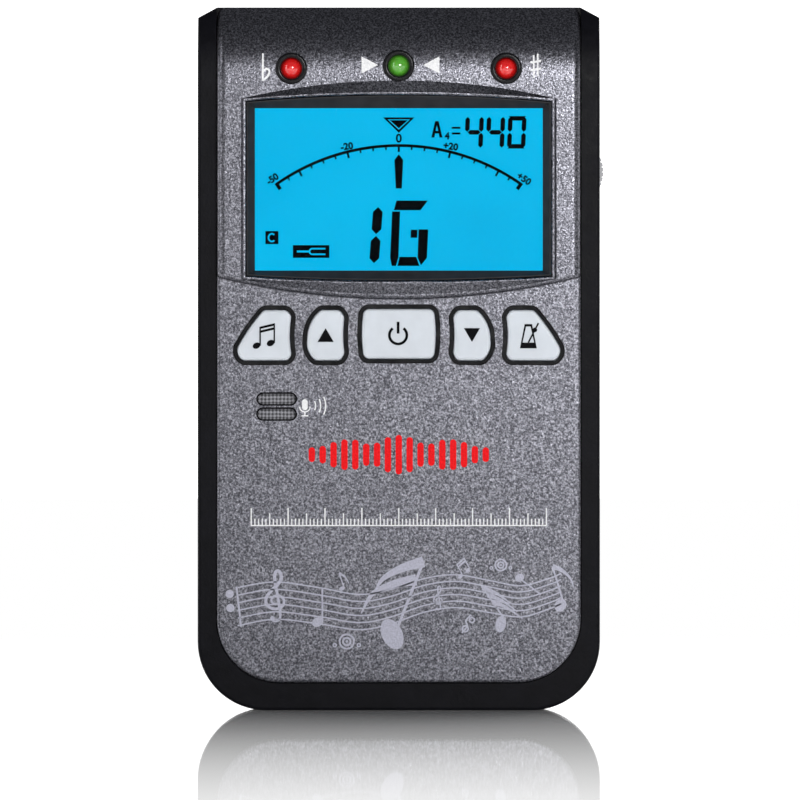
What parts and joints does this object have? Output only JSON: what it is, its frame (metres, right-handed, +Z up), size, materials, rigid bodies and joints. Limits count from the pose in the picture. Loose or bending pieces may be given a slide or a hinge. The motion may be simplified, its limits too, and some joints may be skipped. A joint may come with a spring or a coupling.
{
  "type": "handheld tuner and metronome",
  "caption": "Upright handheld instrument tuner and metronome with a backlit display, tuning lamps, rubber keys, side thumbwheel, rear stand and battery door.",
  "frame": {"origin": "centre of the bottom face that it stands on", "axes": "+Z up along its height, +X to the viewer's right, front faces -Y"},
  "size_m": [0.0607, 0.017, 0.105],
  "materials": {
    "shell_black": "fine spark-eroded moulding",
    "panel_grey": "grained metallic paint on plastic",
    "bezel_black": "satin moulding",
    "lens_clear": "clear acrylic",
    "lcd": "backlit display glass",
    "backlight": "light guide",
    "elastomer": "striped conductive elastomer",
    "led_red": "diffused lamp epoxy",
    "led_green": "diffused lamp epoxy",
    "key_white": "translucent silicone",
    "board_green": "solder mask",
    "chip_black": "moulded package",
    "bright_metal": "nickel plate",
    "contact_carbon": "printed carbon",
    "cloth": "acoustic cloth",
    "boot_rubber": "soft rubber",
    "wheel_grey": "knurled moulding",
    "socket_black": "moulded housing",
    "cone": "speaker cone",
    "cell_wrap": "printed sleeve",
    "screw_steel": "black zinc plate"
  },
  "bodies": {
    "housing": {"front_cover": "panel_grey", "rear_cover": "shell_black", "display_bezel": "bezel_black", "display_lens": "lens_clear", "lcd_glass": "lcd", "lcd_backlight": "backlight", "lcd_connector": "elastomer", "led_flat": "led_red", "led_in_tune": "led_green", "led_sharp": "led_red", "led_collars": "bezel_black", "key_bezel": "bezel_black", "keypad_web": "key_white", "contact_pads": "contact_carbon", "main_board": "board_green", "tuner_chip": "chip_black", "crystal": "bright_metal", "mic_cloth": "cloth", "mic_capsule": "bright_metal", "mic_boot": "boot_rubber", "volume_pot": "chip_black", "phones_jack": "socket_black", "pickup_jack": "socket_black", "speaker": "cone", "speaker_gasket": "boot_rubber", "battery_1": "cell_wrap", "battery_2": "cell_wrap", "battery_springs": "bright_metal", "battery_plates": "bright_metal", "case_screws": "screw_steel", "board_screws": "bright_metal"},
    "key_tone": {"key_tone": "key_white"},
    "key_up": {"key_up": "key_white"},
    "key_power": {"key_power": "key_white"},
    "key_down": {"key_down": "key_white"},
    "key_mode": {"key_mode": "key_white"},
    "volume_wheel": {"volume_wheel": "wheel_grey", "wheel_screw": "bright_metal"},
    "stand_leg": {"stand_leg": "shell_black"},
    "battery_door": {"battery_door": "shell_black"}
  },
  "joints": [
    {"name": "key_tone_press", "type": "slide", "parent": "housing", "child": "key_tone", "axis": [0, 1, 0], "range_m": [0, 0.0007], "stiffness_N_per_m": 400},
    {"name": "key_up_press", "type": "slide", "parent": "housing", "child": "key_up", "axis": [0, 1, 0], "range_m": [0, 0.0007], "stiffness_N_per_m": 400},
    {"name": "key_power_press", "type": "slide", "parent": "housing", "child": "key_power", "axis": [0, 1, 0], "range_m": [0, 0.0007], "stiffness_N_per_m": 400},
    {"name": "key_down_press", "type": "slide", "parent": "housing", "child": "key_down", "axis": [0, 1, 0], "range_m": [0, 0.0007], "stiffness_N_per_m": 400},
    {"name": "key_mode_press", "type": "slide", "parent": "housing", "child": "key_mode", "axis": [0, 1, 0], "range_m": [0, 0.0007], "stiffness_N_per_m": 400},
    {"name": "volume_turn", "type": "hinge", "parent": "housing", "child": "volume_wheel", "pos_m": [0.0257, 0.0027, 0.0805], "axis": [0, 1, 0], "range_deg": [-150, 150]},
    {"name": "stand_fold", "type": "hinge", "parent": "housing", "child": "stand_leg", "pos_m": [0, 0.0073, 0.076], "axis": [1, 0, 0], "range_deg": [0, 75]},
    {"name": "door_slide", "type": "slide", "parent": "housing", "child": "battery_door", "axis": [0, 0, -1], "range_m": [0, 0.012]}
  ]
}
